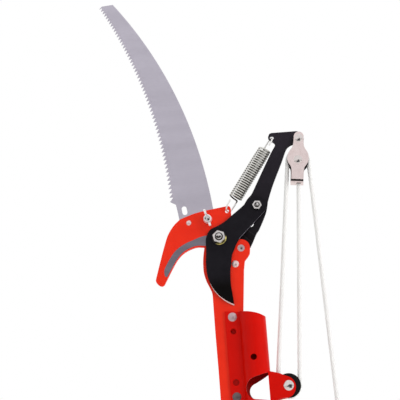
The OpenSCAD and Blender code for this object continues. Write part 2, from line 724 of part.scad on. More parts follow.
// rope: tied to the block's lip, down round the lower sheave, up over the upper one, and down
lift_d = unit(upper_c - lower_c);
left_n = [-lift_d[1], lift_d[0]];
becket_p = block_p + block_d * (becket_s + block_t) + block_n * becket_side;
stand_v = becket_p - lower_c;
stand_a = ang(stand_v) - acos(rope_r / norm(stand_v));
stand_0 = lower_c + rope_r * [cos(stand_a), sin(stand_a)];
stand_gap = 0.3;
fall_d = unit([0.02, -1]);
fall_n = [-fall_d[1], fall_d[0]];
fall_top = upper_c + rope_r * fall_n;
fall_end = fall_top + fall_len * fall_d;
becket_r = 4.8;
becket_rise = 6.2;
module becket_knot() {
    color("#f2f1ee") on_block() translate([becket_side, 0, -becket_s]) {
        intersection() {
            translate([0, 0, becket_rise]) sphere(r = becket_r);
            translate([-2 * becket_r, rope_fit - cheek, 0])
                cube([4 * becket_r, 2 * cheek - 2 * rope_fit, 3 * becket_r]);
        }
        translate([0, 0, -block_t]) cylinder(d = rope_d, h = block_t + becket_rise - 2);
    }
}
module rope_standing() {
    color("#f2f1ee") run(stand_0, becket_p - stand_gap * unit(becket_p - stand_0), rope_d);
}
module rope_lower_wrap() {
    color("#f2f1ee") ring_y(lower_c, rope_r, ang(left_n), 360 + stand_a, rope_d);
}
module rope_lift() {
    color("#f2f1ee") run(lower_c + rope_r * left_n, upper_c + rope_r * left_n, rope_d);
}
module rope_upper_wrap() {
    color("#f2f1ee") ring_y(upper_c, rope_r, ang(fall_n), ang(left_n), rope_d);
}
module rope_fall() {
    color("#f2f1ee") run(fall_top, fall_end, rope_d);
}
// stopper knot: the rope's end turns back and winds three times round the fall
knot_gap = 0.5;
knot_step = rope_d + knot_gap;
knot_turns = 3;
knot_bend = [[0, 0, 0], [0, 0, -0.24], [0.18, 0, -0.72], [0.6, 0, -1], [1, 0.2, -0.92]];
knot_path = concat([for (p = knot_bend) rope_d * p],
    [for (i = [0:12 * knot_turns]) let (a = 40 + 30 * i)
        [knot_step * cos(a), knot_step * sin(a), knot_step * i / 12 - 0.48 * rope_d]]);
function dir(p, i) = unit(i == 0 ? [0, 0, -1] : i == len(p) - 1 ? p[i] - p[i - 1]
    : p[i + 1] - p[i - 1]);
function frame_n(p, i) = i == 0 ? [1, 0, 0]
    : let (t = dir(p, i), q = frame_n(p, i - 1)) unit(q - t * (q * t));
function rope_pts(p, r, m) = [for (i = [0:len(p) - 1]) let (t = dir(p, i), n = frame_n(p, i),
    b = cross(t, n)) for (j = [0:m - 1]) p[i] + r * (n * cos(360 * j / m) + b * sin(360 * j / m))];
module rope_end_knot() {
    color("#f2f1ee") translate([fall_end[0], 0, fall_end[1]])
        rotate([0, -90 - ang(fall_d), 0])
            polyhedron(rope_pts(knot_path, rope_d / 2, 8), tube_faces(len(knot_path), 8));
}

hook_plate();
counter_blade();
saw_blade();
saw_rivet();
wing_bolt();
wing_nut();
cutting_blade();
pivot_bolt();
pivot_washer();
pivot_nut();
tail_bolt();
tail_bush();
tail_nut();
lever();
lever_rivet();
stop_rivet();
return_spring();
spring_lower_hook();
spring_upper_hook();
ferrule();
ferrule_rivets();
lower_sheave();
lower_axle();
block_front_plate();
block_rear_plate();
upper_sheave();
upper_axle();
block_pin();
block_spacers();
becket_knot();
rope_standing();
rope_lower_wrap();
rope_lift();
rope_upper_wrap();
rope_fall();
rope_end_knot();
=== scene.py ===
import json
import math
import bpy
import bmesh
import numpy as np
from mathutils import Matrix, Vector


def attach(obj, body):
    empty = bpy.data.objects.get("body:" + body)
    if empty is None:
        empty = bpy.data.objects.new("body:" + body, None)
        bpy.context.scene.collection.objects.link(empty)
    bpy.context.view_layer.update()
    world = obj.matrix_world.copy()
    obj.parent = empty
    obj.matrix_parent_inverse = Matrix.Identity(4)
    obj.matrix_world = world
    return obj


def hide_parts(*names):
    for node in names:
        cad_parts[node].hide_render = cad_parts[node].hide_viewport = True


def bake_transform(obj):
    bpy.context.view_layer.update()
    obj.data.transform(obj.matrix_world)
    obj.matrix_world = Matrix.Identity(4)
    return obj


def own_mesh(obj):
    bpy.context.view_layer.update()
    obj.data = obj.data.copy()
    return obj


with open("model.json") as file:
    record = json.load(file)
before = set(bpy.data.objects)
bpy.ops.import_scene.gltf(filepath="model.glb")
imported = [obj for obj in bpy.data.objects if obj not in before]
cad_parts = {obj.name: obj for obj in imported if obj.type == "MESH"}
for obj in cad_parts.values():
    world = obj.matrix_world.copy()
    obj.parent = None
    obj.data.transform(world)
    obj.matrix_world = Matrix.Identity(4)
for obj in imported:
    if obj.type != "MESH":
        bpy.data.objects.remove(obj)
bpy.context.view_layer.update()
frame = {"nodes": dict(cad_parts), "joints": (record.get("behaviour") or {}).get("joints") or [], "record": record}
mm = 0.001
scene = bpy.context.scene
scene.view_settings.view_transform = "Standard"

joints = {joint["name"]: joint for joint in frame["joints"]}
ratios = {pair["joint"]: pair["ratio"] for pair in frame["record"]["behaviour"]["couplings"]}


def pinOf(name):
    # x and z of a joint in mm, in the plane of the plates
    x, z = joints[name]["pos_m"][::2]
    return (round(x / mm, 3), round(z / mm, 3))


# pins of the part; the tail's bolt and the spring's upper hole are no joints of the frame
layout = {
    "leverPivot": pinOf("lever_pivot"),
    "mainPivot": pinOf("blade_pivot"),
    "tailPivot": (16.1, 265.6),
    "springLow": pinOf("spring_swing"),
    "springHigh": (39.7, 345.9),
    "blockPin": pinOf("block_swing"),
    "upperAxle": pinOf("upper_sheave_spin"),
    "lowerAxle": pinOf("lower_sheave_spin"),
    "wingBolt": pinOf("wing_nut_turn"),
    "leverTravel": joints["lever_pivot"]["range_deg"][1],
    "blockRatio": ratios["block_swing"],
}

# lens and place found from the pixels of the pins
cameraSet = {
    "lens": 100.0,
    "sensor": 36.0,
    "place": (26.66, -1231.81, -51.05),
    "target": (-48.68, 0.0, 279.63),
    "roll": -4.114,
}


def placeCamera(look):
    # right = forward x up, turned by the roll about the line of sight
    place = Vector(look["place"]) * mm
    forward = (Vector(look["target"]) * mm - place).normalized()
    right = forward.cross(Vector((0, 0, 1))).normalized()
    up = right.cross(forward)
    roll = math.radians(look["roll"])
    rolledRight = right * math.cos(roll) + up * math.sin(roll)
    rolledUp = up * math.cos(roll) - right * math.sin(roll)
    data = bpy.data.cameras.new("photoCamera")
    data.lens = look["lens"]
    data.sensor_width = look["sensor"]
    data.clip_start = 0.05
    camera = bpy.data.objects.new("photoCamera", data)
    turn = Matrix((rolledRight, rolledUp, -forward)).transposed()
    camera.matrix_world = Matrix.Translation(place) @ turn.to_4x4()
    scene.collection.objects.link(camera)
    scene.camera = camera


placeCamera(cameraSet)
print("camera placed")


def hexLinear(code):
    # sRGB hex to the linear colour that the shaders take
    values = [int(code[i:i + 2], 16) / 255 for i in (1, 3, 5)]
    return [v / 12.92 if v <= 0.04045 else ((v + 0.055) / 1.055) ** 2.4 for v in values] + [1.0]


def addNode(tree, kind, inputs=None, **settings):
    # inputs: a socket is linked, a hex code is set as a colour, anything else as the value
    node = tree.nodes.new(kind)
    for name, value in settings.items():
        setattr(node, name, value)
    for key, value in (inputs or {}).items():
        if isinstance(value, bpy.types.NodeSocket):
            tree.links.new(value, node.inputs[key])
        else:
            node.inputs[key].default_value = hexLinear(value) if isinstance(value, str) else value
    return node


# values that nearly all of a noise lies between, and depth of a grain as a share of its width
noiseSpan = {"From Min": 0.3, "From Max": 0.7}
grainDepth = 0.2


def finishMaterial(name, look):
    # two close shades in soft patches, roughness from a finer noise, relief from the grain
    material = bpy.data.materials.new(name)
    material.use_nodes = True
    tree = material.node_tree
    shader = tree.nodes["Principled BSDF"]
    place = addNode(tree, "ShaderNodeTexCoord")
    lined = addNode(tree, "ShaderNodeMapping", {
        "Vector": place.outputs["Object"],
        "Rotation": [math.radians(a) for a in look.get("turn", (0, 0, 0))],
        "Scale": look.get("stretch", (1, 1, 1))})
    patch = addNode(tree, "ShaderNodeTexNoise", {
        "Vector": lined.outputs["Vector"], "Scale": 1000 / look["patchMm"], "Detail": 4.0})
    grain = addNode(tree, "ShaderNodeTexNoise", {
        "Vector": lined.outputs["Vector"], "Scale": 1000 / look["grainMm"], "Detail": 2.0})
    contrast = addNode(tree, "ShaderNodeMapRange", {"Value": patch.outputs["Fac"], **noiseSpan})
    shade = addNode(tree, "ShaderNodeMix", {
        0: contrast.outputs["Result"], 6: look["colour"], 7: look["shade"]}, data_type="RGBA")
    colour = shade.outputs[2]
    if "crystalMm" in look:
        # flat crystals of a plated coat, each a little lighter or darker
        crystal = addNode(tree, "ShaderNodeTexVoronoi", {
            "Vector": place.outputs["Object"], "Scale": 1000 / look["crystalMm"]})
        spark = addNode(tree, "ShaderNodeMapRange", {
            "Value": crystal.outputs["Color"], "To Min": 0.9, "To Max": 1.06})
        tinted = addNode(tree, "ShaderNodeMix", {
            0: 1.0, 6: colour, 7: spark.outputs["Result"]}, data_type="RGBA", blend_type="MULTIPLY")
        colour = tinted.outputs[2]
    if "valley" in look:
        # painted shade where the crest mark is low, as between strands and turns and in dents; on the washer, old
        # grease as well
        crest = addNode(tree, "ShaderNodeAttribute", attribute_name="crest")
        valley = addNode(tree, "ShaderNodeMix", {
            0: crest.outputs["Fac"], 6: look["valley"], 7: colour}, data_type="RGBA")
        colour = valley.outputs[2]
    if "dulled" in look:
        # painted shade: darker below the two given heights
        height = addNode(tree, "ShaderNodeSeparateXYZ", {"Vector": place.outputs["Object"]})
        unshadedShare = addNode(tree, "ShaderNodeMapRange", {
            "Value": height.outputs["Z"], "From Min": look["dulledMm"][0] * mm,
            "From Max": look["dulledMm"][1] * mm})
        paintedLowShade = addNode(tree, "ShaderNodeMix", {
            0: unshadedShare.outputs["Result"], 6: look["dulled"], 7: colour}, data_type="RGBA")
        colour = paintedLowShade.outputs[2]
    rough = addNode(tree, "ShaderNodeMapRange", {
        "Value": grain.outputs["Fac"], **noiseSpan,
        "To Min": look["rough"][0], "To Max": look["rough"][1]})
    relief = addNode(tree, "ShaderNodeBump", {
        "Height": grain.outputs["Fac"], "Strength": look["relief"],
        "Distance": look["grainMm"] * grainDepth * mm})
    tree.links.new(colour, shader.inputs["Base Color"])
    tree.links.new(rough.outputs["Result"], shader.inputs["Roughness"])
    tree.links.new(relief.outputs["Normal"], shader.inputs["Normal"])
    for socket, value in look["shader"].items():
        shader.inputs[socket].default_value = value
    return material


# the grain of metals and cord is drawn coarser than the real one, which would be too fine to show

# baked enamel on plate: glossy, even, with a faint orange peel of about 1 mm
hookEnamel = finishMaterial("redStoveEnamel", {
    "colour": "#ee2d12", "shade": "#e8280f", "patchMm": 14, "grainMm": 1.1, "relief": 0.12,
    "rough": (0.3, 0.42), "shader": {"Specular IOR Level": 0.15, "Coat Weight": 0.03}})
# the same enamel in a deeper red, thinner over the folds of the sheet
socketEnamel = finishMaterial("deepRedStoveEnamel", {
    "colour": "#d20d02", "shade": "#ca0a01", "patchMm": 18, "grainMm": 1.2, "relief": 0.14,
    "rough": (0.32, 0.44), "shader": {"Specular IOR Level": 0.08, "Coat Weight": 0.02}})
# the enamel inside the tube and in the holes through the flange, painted darker as shade: dark and dull
boreShadeEnamel = finishMaterial("thinRedOverspray", {
    "colour": "#a00501", "shade": "#900401", "patchMm": 9, "grainMm": 0.9, "relief": 0.2,
    "rough": (0.5, 0.65), "shader": {"Specular IOR Level": 0.05}})
# enamel in the pressed dimple, painted darker as shade, with a skin
dimpleShadeEnamel = finishMaterial("pooledRedEnamel", {
    "colour": "#ab0802", "shade": "#920501", "patchMm": 3, "grainMm": 0.8, "relief": 0.3,
    "rough": (0.3, 0.45), "shader": {"Specular IOR Level": 0.1}})
# blackened carbon steel: dull black with a weak violet sheen, and a painted shade that darkens it toward the
# bottom
leverSteel = finishMaterial("blackOxideSteel", {
    "colour": "#29252d", "shade": "#231f26", "patchMm": 9, "grainMm": 0.5, "relief": 0.1,
    "dulled": "#0e0c0f", "dulledMm": (215, 345), "rough": (0.36, 0.5),
    "shader": {"Specular IOR Level": 0.1}})
# the blade: the same oxide, ground before blackening, painted darker than the lever as shade, with a painted dark
# reflection over its lower part
bladeSteel = finishMaterial("deepBlackOxideSteel", {
    "colour": "#1b191e", "shade": "#151318", "patchMm": 9, "grainMm": 0.5, "relief": 0.08,
    "dulled": "#060404", "dulledMm": (176, 190), "rough": (0.36, 0.48),
    "shader": {"Specular IOR Level": 0.07}})
# the same oxide rubbed thin along the edges
rubbedSteel = finishMaterial("rubbedOxideEdge", {
    "colour": "#38353b", "shade": "#242126", "patchMm": 5, "grainMm": 0.4, "relief": 0.1,
    "rough": (0.3, 0.42), "shader": {"Specular IOR Level": 0.2}})
# ground bare steel of the counter blade: dull grey, lined along the grinding direction
groundSteel = finishMaterial("groundBareSteel", {
    "colour": "#827d88", "shade": "#77727d", "patchMm": 5, "grainMm": 0.45, "relief": 0.2,
    "stretch": (0.12, 1, 1), "turn": (0, 24, 0), "rough": (0.34, 0.46),
    "shader": {"Metallic": 1.0}})
# honed edge of the blade: bare ground steel, painted near white as a reflection of the white surround, so it shows
# white from any side
edgeSteel = finishMaterial("honedEdgeSteel", {
    "colour": "#f6f2f0", "shade": "#ebe6e3", "patchMm": 4, "grainMm": 0.4, "relief": 0.12,
    "stretch": (1, 1, 0.15), "turn": (0, 40, 0), "rough": (0.4, 0.5),
    "shader": {"Metallic": 0.15}})
# rolled spring steel sheet, ground across its width: matt grey with fine lines
sawSteel = finishMaterial("satinSpringSteel", {
    "colour": "#c0bbc7", "shade": "#b9b4c0", "patchMm": 16, "grainMm": 0.6, "relief": 0.18,
    "stretch": (0.1, 1, 1), "turn": (0, -18, 0), "rough": (0.36, 0.5),
    "shader": {"Metallic": 1.0}})
# bright zinc plate: small crystals, hard bright reflections
zincLook = {
    "colour": "#d3cfce", "shade": "#b9b5b4", "patchMm": 3, "grainMm": 0.5, "relief": 0.08,
    "crystalMm": 1.2, "rough": (0.12, 0.22), "shader": {"Metallic": 1.0}}
zincPlate = finishMaterial("brightZincPlate", zincLook)
# the same plate on bolts, with painted shade in the dents of their peened ends
peenedZinc = finishMaterial("peenedZincPlate", {**zincLook, "valley": "#3d3937"})
# pressure cast zinc of the wing nut: white, with a dull skin from the mould
castZinc = finishMaterial("pressureCastZinc", {
    "colour": "#fbf8f8", "shade": "#f0ecec", "patchMm": 2.5, "grainMm": 0.5, "relief": 0.12,
    "rough": (0.22, 0.34), "shader": {"Metallic": 0.4}})
# screw thread, dark grey and half dull: painted shade in the thread
threadShade = finishMaterial("oiledScrewThread", {
    "colour": "#4a4643", "shade": "#373431", "patchMm": 1.5, "grainMm": 0.4, "relief": 0.1,
    "rough": (0.3, 0.45), "shader": {"Metallic": 1.0}})
# tumbled steel rivets: light grey and satin, with a painted dark reflection on the lower one
rivetLook = {
    "colour": "#c6adb0", "shade": "#b5999d", "patchMm": 2.5, "grainMm": 0.6, "relief": 0.2,
    "dulled": "#665759", "dulledMm": (75, 120), "rough": (0.3, 0.44), "shader": {"Metallic": 0.5}}
rivetSteel = finishMaterial("tumbledRivetSteel", rivetLook)
# the lever's rivet, with painted shade in its dish
dishedRivet = finishMaterial("dishedRivetSteel", {**rivetLook, "valley": "#3d3937"})
# the smaller rivets: tumbled steel in a lighter colour
brightRivet = finishMaterial("brightRivetSteel", {
    "colour": "#ead2d1", "shade": "#d8bfbe", "patchMm": 2, "grainMm": 0.5, "relief": 0.16,
    "rough": (0.28, 0.4), "shader": {"Metallic": 0.6}})
# zinc with a yellow passivation, with weak rainbow patches of a few mm; most of it dark with old grease and
# painted shade from the nut
yellowZinc = finishMaterial("yellowZincPlate", {
    "colour": "#f3e58c", "shade": "#e2cf74", "patchMm": 3, "grainMm": 0.5, "relief": 0.08,
    "crystalMm": 1.4, "valley": "#1f1b19", "rough": (0.18, 0.3), "shader": {"Metallic": 0.6}})
# drawn and plated wire: bright crests, and painted shade between the turns and on one side of the coil
springWire = finishMaterial("platedSpringWire", {
    "colour": "#e9e7e1", "shade": "#dcdad4", "patchMm": 2.5, "grainMm": 0.35, "relief": 0.06,
    "valley": "#4d4a46", "rough": (0.24, 0.34), "shader": {"Metallic": 0.75}})
# the end loops of the same wire, painted lighter than the coil: white and half dull
litLoopWire = finishMaterial("whitePlatedWire", {
    "colour": "#f4f3f1", "shade": "#e8e6e3", "patchMm": 2.5, "grainMm": 0.35, "relief": 0.06,
    "rough": (0.26, 0.36), "shader": {"Metallic": 0.35}})
# barrel nickel plate on stamped sheet: warm white, satin
nickelPlate = finishMaterial("satinNickelPlate", {
    "colour": "#e7d7d6", "shade": "#deccca", "patchMm": 7, "grainMm": 0.5, "relief": 0.06,
    "rough": (0.26, 0.36), "shader": {"Metallic": 1.0}})
# the same plate on turned heads, which stays brighter
headNickel = finishMaterial("brightNickelPlate", {
    "colour": "#dcd4d2", "shade": "#cfc7c5", "patchMm": 3, "grainMm": 0.4, "relief": 0.05,
    "rough": (0.14, 0.22), "shader": {"Metallic": 1.0}})
# painted shade for the inside of the block: brown black and half dull
blockShade = finishMaterial("oldGreaseOnSteel", {
    "colour": "#2c2623", "shade": "#1d1917", "patchMm": 2.5, "grainMm": 0.5, "relief": 0.15,
    "rough": (0.4, 0.6), "shader": {"Specular IOR Level": 0.2}})
# moulded nylon: matt black with a fine eroded skin
blackNylon = finishMaterial("mouldedBlackNylon", {
    "colour": "#171518", "shade": "#111012", "patchMm": 6, "grainMm": 0.4, "relief": 0.2,
    "rough": (0.42, 0.56), "shader": {"Specular IOR Level": 0.15}})
# braided white polyester: soft and matt, with painted shade in the valleys between the strands
whiteBraid = finishMaterial("braidedPolyesterCord", {
    "colour": "#f5f5f4", "shade": "#efeeed", "patchMm": 4, "grainMm": 0.3, "relief": 0.15,
    "valley": "#dad9d7", "rough": (0.7, 0.85),
    "shader": {"Specular IOR Level": 0.2, "Sheen Weight": 0.1, "Subsurface Weight": 0.6,
               "Subsurface Radius": (1, 1, 1), "Subsurface Scale": 0.004}})
print("materials made")


def unit(vector):
    # the same direction with length 1, for one vector or for rows of them
    return vector / np.linalg.norm(vector, axis=-1, keepdims=True)


def ringAngles(count):
    # even angles round a ring
    return np.linspace(0, 2 * np.pi, count, endpoint=False)


def meshPiece(name, grid, material, joined=False):
    # grid in mm, rows x columns x 3; columns join round, and the end rows are capped or joined too
    rows, columns = grid.shape[:2]
    index = np.arange(rows * columns).reshape(rows, columns)
    here = index if joined else index[:-1]
    ahead = np.roll(index, -1, axis=0) if joined else index[1:]
    quads = np.stack([here, np.roll(here, -1, axis=1), np.roll(ahead, -1, axis=1), ahead], axis=-1)
    faces = quads.reshape(-1, 4).tolist()
    if not joined:
        faces += [index[0, ::-1].tolist(), index[-1].tolist()]
    mesh = bpy.data.meshes.new(name)
    mesh.from_pydata((grid * mm).reshape(-1, 3).tolist(), [], faces)
    mesh.shade_smooth()
    mesh.materials.append(material)
    piece = bpy.data.objects.new(name, mesh)
    scene.collection.objects.link(piece)
    return piece


def markCrest(piece, crest):
    # 1 on a crest and 0 in a valley, read by every finish that has a valley colour, which paints shade there
    mark = piece.data.attributes.new("crest", "FLOAT", "POINT")
    mark.data.foreach_set("value", crest.reshape(-1))


def finishRows(piece, rowFinish, columns):
    # a finish for each row of faces; the caps take those of the end rows
    faceFinish = np.concatenate([np.repeat(rowFinish, columns), rowFinish[[0, -1]]])
    piece.data.polygons.foreach_set("material_index", faceFinish)


def roundEdges(piece, width, leastTurn):
    # bevel, width in mm, on every edge that turns by more than the angle
    bevel = piece.modifiers.new("roundedEdges", "BEVEL")
    bevel.width = width * mm
    bevel.segments = 2
    bevel.limit_method = "ANGLE"
    bevel.angle_limit = leastTurn
    return bevel


def sweepTube(path, side, radius):
    # ring at each path point: centre + radius (side cos a + (tangent x side) sin a)
    tangent = unit(np.gradient(path, axis=0))
    other = unit(np.cross(tangent, side))
    first = np.cross(other, tangent)
    angle = ringAngles(radius.shape[1])[None, :, None]
    ring = first[:, None] * np.cos(angle) + other[:, None] * np.sin(angle)
    return path[:, None] + ring * radius[..., None]


# rope: one line from the knot on the block to the stopper knot; lengths in mm. Its braid has fewer and
# longer strands than a real one, which would be too fine to show
rope = {
    "diameter": 5.0,
    "wrapRadius": 12.0,
    "strands": 6,
    "pitch": 4.6,
    "depth": 0.17,
    "ringStep": 0.45,
    "sides": 36,
    "fallLine": (0.02, -1.0),
    "fallLength": 286.0,
    "becketDrop": 53.186,
    "becketSide": 1.5,
    "becketGap": 0.3,
    "pathEvery": 16,
}


def ropeLay(along, angle):
    # diamond braid: cells of two crossing sets of strands, the upper one in turn, each a pillow
    a = rope["strands"] * angle / (2 * np.pi) + along / rope["pitch"]
    b = rope["strands"] * angle / (2 * np.pi) - along / rope["pitch"]
    across = np.sin(np.pi * (a % 1))
    length = np.sin(np.pi * (b % 1))
    even = (np.floor(a) + np.floor(b)) % 2 == 0
    top = np.where(even, across, length)
    run = np.where(even, length, across)
    return top ** 0.7 * run ** 0.3


# first direction of each ring, for a rope in the plane of the plates
planeSide = np.array([[0.0, 1.0, 0.0]])


def ropePiece(name, path, start=0.0, side=planeSide):
    # path in mm; its length goes on from start, so that the braid runs through from piece to piece
    steps = np.linalg.norm(np.diff(path, axis=0), axis=1)
    along = start + np.concatenate([[0.0], np.cumsum(steps)])
    lay = ropeLay(along[:, None], ringAngles(rope["sides"])[None, :])
    radius = rope["diameter"] / 2 - rope["depth"] * (1 - lay) * 2
    grid = sweepTube(path, side, radius)
    piece = meshPiece(name, grid, whiteBraid)
    markCrest(piece, lay)
    return piece, along[-1]


def flatPath(points):
    # x and z in the middle plane of the part
    points = np.asarray(points, dtype=float)
    return np.stack([points[:, 0], np.zeros(len(points)), points[:, 1]], axis=1)


def straightRun(start, end):
    # start (1 - t) + end t, with a ring at every step
    count = int(np.linalg.norm(np.subtract(end, start)) / rope["ringStep"]) + 2
    share = np.linspace(0, 1, count)[:, None]
    return flatPath(np.asarray(start) * (1 - share) + np.asarray(end) * share)


def arcRun(centre, fromDeg, toDeg):
    # centre + wrap radius (cos a, sin a), with a ring at every step
    count = int(math.radians(abs(toDeg - fromDeg)) * rope["wrapRadius"] / rope["ringStep"]) + 2
    angle = np.radians(np.linspace(fromDeg, toDeg, count))
    ring = np.stack([np.cos(angle), np.sin(angle)], axis=1)
    return flatPath(np.asarray(centre) + rope["wrapRadius"] * ring)


def shortened(piece):
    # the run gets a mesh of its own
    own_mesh(piece)


def leftOf(line):
    # a quarter turn against the clock, as the camera sees it
    return np.array([-line[1], line[0]])


def headingDeg(line):
    # angle from x toward z
    return math.degrees(math.atan2(line[1], line[0]))


def makeRope():
    upper, lower = np.array(layout["upperAxle"]), np.array(layout["lowerAxle"])
    pin = np.array(layout["blockPin"])
    turn = rope["wrapRadius"]
    liftSide = leftOf(unit(upper - lower))
    liftDeg = headingDeg(liftSide)
    down = unit(upper - pin)
    becket = pin + down * rope["becketDrop"] + leftOf(down) * rope["becketSide"]
    # tangent from the becket to the lower sheave: its foot lies acos(r / d) from the line between them
    reach = becket - lower
    standDeg = headingDeg(reach) - math.degrees(math.acos(turn / np.linalg.norm(reach)))
    standAngle = math.radians(standDeg)
    standFoot = lower + turn * np.array([math.cos(standAngle), math.sin(standAngle)])
    fall = unit(np.array(rope["fallLine"]))
    fallSide = leftOf(fall)
    fallDeg = headingDeg(fallSide)
    fallTop = upper + turn * fallSide
    fallEnd = fallTop + rope["fallLength"] * fall
    standTop = becket - rope["becketGap"] * unit(becket - standFoot)

    liftFoot, liftTop = lower + turn * liftSide, upper + turn * liftSide
    fallPath = straightRun(fallTop, fallEnd)
    stretches = [
        ("ropeStanding", "frame", "rope_standing", straightRun(standTop, standFoot)),
        ("ropeLowerWrap", "frame", "rope_lower_wrap", arcRun(lower, standDeg, liftDeg - 360)),
        ("ropeLift", "frame", "rope_lift", straightRun(liftFoot, liftTop)),
        ("ropeUpperWrap", "block", "rope_upper_wrap", arcRun(upper, liftDeg, fallDeg)),
        ("ropeFall", "block", "rope_fall", fallPath),
    ]
    runs, used = {}, 0.0
    for name, body, node, path in stretches:
        runs[name], used = ropePiece(name, path, used)
        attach(runs[name], body)
        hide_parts(node)
    shortened(runs["ropeStanding"])
    shortened(runs["ropeLift"])
    stopper = makeStopperKnot(fallEnd, fall, used)
    makeBecketKnot(pin, down)


# stopper knot: the end turns back up and winds a little over twice round the fall
stopperKnot = {
    "turns": 2.3,
    "radius": 5.25,
    "step": 5.1,
    "firstDeg": 40.0,
    "rise": -2.4,
    "bend": ((0, 0, 0), (0, 0, -1.2), (0.9, 0, -3.4), (2.8, 0.1, -4.6), (4.6, 1.2, -4.3)),
    "turnRings": 60,
    "helixFrom": 4,
    "helixEvery": 6,
    "cornerRings": 9,
}


def makeStopperKnot(end, fall, used):
    knot = stopperKnot
    # a bend out of the fall, then a helix of the given radius and step
    bend = np.array(knot["bend"])
    turns = np.linspace(0, knot["turns"], int(knot["turns"] * knot["turnRings"]) + 1)
    angle = np.radians(knot["firstDeg"] + 360 * turns)
    helix = np.stack([knot["radius"] * np.cos(angle), knot["radius"] * np.sin(angle),
                      knot["step"] * turns + knot["rise"]], axis=1)
    corners = np.concatenate([bend, helix[knot["helixFrom"]::knot["helixEvery"]]])
    share = np.linspace(0, len(corners) - 1, len(corners) * knot["cornerRings"])
    local = smoothCurve(corners, share)
    # the side turns from y to z as the rope leaves the fall
    tilt = np.clip(share / (len(bend) - 1), 0, 1) * np.pi / 2
    side = np.stack([np.zeros(len(share)), np.cos(tilt), np.sin(tilt)], axis=1)
    lean = math.atan2(-fall[0], -fall[1])
    turn = np.array([[math.cos(lean), 0, math.sin(lean)], [0, 1, 0],
                     [-math.sin(lean), 0, math.cos(lean)]])
    path = local @ turn.T + np.array([end[0], 0, end[1]])
    piece = ropePiece("ropeStopperKnot", path, used, side @ turn.T)[0]
    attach(piece, "block")
    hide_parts("rope_end_knot")
    return piece


def smoothCurve(corners, share):
    # Catmull-Rom curve through the corners; share counts corners, as 2.5 is half way from 2 to 3
    last = len(corners) - 1
    low = np.clip(share.astype(int), 0, last - 1)
    t = (share - low)[:, None]
    a, b = corners[np.maximum(low - 1, 0)], corners[low]
    c, d = corners[low + 1], corners[np.minimum(low + 2, last)]
    return 0.5 * (2 * b + (c - a) * t + (2 * a - 5 * b + 4 * c - d) * t ** 2
                  + (3 * b - a - 3 * c + d) * t ** 3)


# overhand knot above the lip of the block; half widths in mm
becketKnot = {
    "lip": 51.586,
    "wide": 1.05,
    "thick": 0.76,
    "rise": 7.6,
    "wave": 1.65,
    "tail": 1.6,
    "stub": 5.8,
    "loopRings": 150,
    "stubRings": 24,
}


def makeBecketKnot(pin, down):
    knot = becketKnot
    # trefoil: x = w (sin t + 2 sin 2t), y = k (cos t - 2 cos 2t), height a wave of 3t
    t = np.linspace(0, 2 * np.pi, knot["loopRings"])
    loop = np.stack([knot["wide"] * (np.sin(t) + 2 * np.sin(2 * t)),
                     knot["thick"] * (np.cos(t) - 2 * np.cos(2 * t)),
                     knot["rise"] - knot["wave"] * np.sin(3 * t)], axis=1)
    level = np.linspace(-knot["tail"], knot["stub"], knot["stubRings"])
    stub = np.stack([np.zeros_like(level), np.zeros_like(level), level], axis=1)
    across = leftOf(down)
    foot = pin + down * knot["lip"] + across * rope["becketSide"]
    axes = np.array([[across[0], 0, across[1]], [0, 1, 0], [-down[0], 0, -down[1]]])
    base = np.array([foot[0], 0, foot[1]])
    ball = ropePiece("becketKnot", loop @ axes + base, side=axes[2][None, :])[0]
    tail = ropePiece("becketTail", stub @ axes + base)[0]
    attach(ball, "block")
    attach(tail, "block")
    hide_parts("becket_knot")
    # the stub in the dark gap above the lip is black nylon: painted shade
    tail.data.materials[0] = blackNylon


makeRope()
print("rope made")


# return spring: one wire, a long open loop at each end; lengths along the spring line in mm
spring = {
    "wire": 1.8,
    "outside": 16.0,
    "coilFrom": 15.4,
    "coilToEnd": 13.0,
    "curls": 24,
    "helixDeg": 86.0,
    "closings": 8,
    "loopDeg": 22.0,
    "loopOpen": 2.5,
    "straight": 1.0,
    "bend": 1.6,
    "sides": 16,
    "ringStep": 0.3,
    "endTaper": 0.45,
    "taperLong": 16.0,
    "cutEnd": 0.8,
    "oily": 0.5,
}


def springLoop(reach, mean, tilt):
    # free side, half circle through the hole, and the side that runs on into the coil
    step = spring["ringStep"]
    half = np.linspace(-np.pi / 2, -1.5 * np.pi, int(np.pi * mean / step))
    free = np.arange(reach - spring["loopOpen"], mean, -step)
    out = np.arange(mean, reach, step)[1:]
    x = np.concatenate([free, mean + mean * np.cos(half), out])
    q = np.concatenate([np.full(len(free), -mean), mean * np.sin(half), np.full(len(out), mean)])
    return np.stack([x, q * math.cos(tilt), q * math.sin(tilt)], axis=1)


def runningSum(slope, along):
    # trapezium rule from the start of the wire
    return np.concatenate([[0], np.cumsum((slope[1:] + slope[:-1]) / 2 * np.diff(along))])


